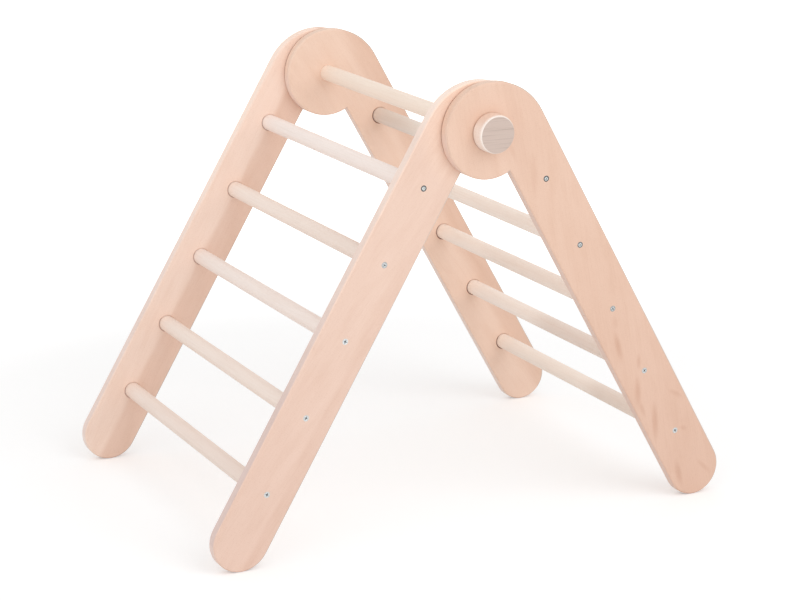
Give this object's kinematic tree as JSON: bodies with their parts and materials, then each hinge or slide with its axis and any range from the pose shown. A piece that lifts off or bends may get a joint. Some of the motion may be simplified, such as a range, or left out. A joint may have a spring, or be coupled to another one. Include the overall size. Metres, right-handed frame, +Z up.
{
  "type": "folding climbing triangle",
  "caption": "Toddler's climbing frame: two beech ladders with round-headed rails, hinged on a wooden axle and clamped open by wooden knobs.",
  "frame": {"origin": "on the floor, midway between the feet and under the axle's middle", "axes": "+X from the left feet to the right feet, +Y along the rungs from front to back, +Z up"},
  "size_m": [0.9394, 0.6772, 0.7531],
  "materials": {
    "rail_beech": "clear-oiled beech board, glued staves",
    "rung_beech": "sanded beech dowel",
    "knob_beech": "turned beech",
    "zinc": "zinc plated",
    "brass": "plain",
    "fibre": "hard friction fibre"
  },
  "bodies": {
    "left_ladder": {"left_front_rail": "rail_beech", "left_back_rail": "rail_beech", "left_rung_1": "rung_beech", "left_rung_2": "rung_beech", "left_rung_3": "rung_beech", "left_rung_4": "rung_beech", "left_rung_5": "rung_beech", "left_front_screws": "zinc", "left_back_screws": "zinc", "axle": "rung_beech", "front_friction_disc": "fibre", "back_friction_disc": "fibre", "front_insert": "brass", "back_insert": "brass"},
    "right_ladder": {"right_front_rail": "rail_beech", "right_back_rail": "rail_beech", "right_rung_1": "rung_beech", "right_rung_2": "rung_beech", "right_rung_3": "rung_beech", "right_rung_4": "rung_beech", "right_rung_5": "rung_beech", "right_front_screws": "zinc", "right_back_screws": "zinc"},
    "front_slider": {"front_washer": "zinc"},
    "front_clamp": {"front_knob": "knob_beech", "front_stud": "zinc"},
    "back_slider": {"back_washer": "zinc"},
    "back_clamp": {"back_knob": "knob_beech", "back_stud": "zinc"}
  },
  "joints": [
    {"name": "ladder_fold", "type": "hinge", "parent": "left_ladder", "child": "right_ladder", "pos_m": [0, 0, 0.67453], "axis": [0, -1, 0], "range_deg": [-60.5, 119.5]},
    {"name": "front_knob_travel", "type": "slide", "parent": "left_ladder", "child": "front_slider", "axis": [0, -1, 0], "range_m": [0, 0.00376]},
    {"name": "front_knob_turn", "type": "hinge", "parent": "front_slider", "child": "front_clamp", "pos_m": [0, -0.314, 0.67453], "axis": [0, -1, 0], "range_deg": [0, 1080]},
    {"name": "back_knob_travel", "type": "slide", "parent": "left_ladder", "child": "back_slider", "axis": [0, 1, 0], "range_m": [0, 0.00376]},
    {"name": "back_knob_turn", "type": "hinge", "parent": "back_slider", "child": "back_clamp", "pos_m": [0, 0.314, 0.67453], "axis": [0, 1, 0], "range_deg": [0, 1080]}
  ],
  "couplings": [
    {"joint": "front_knob_travel", "follows": "front_knob_turn", "m_per_rad": 0.00019894},
    {"joint": "back_knob_travel", "follows": "back_knob_turn", "m_per_rad": 0.00019894}
  ]
}
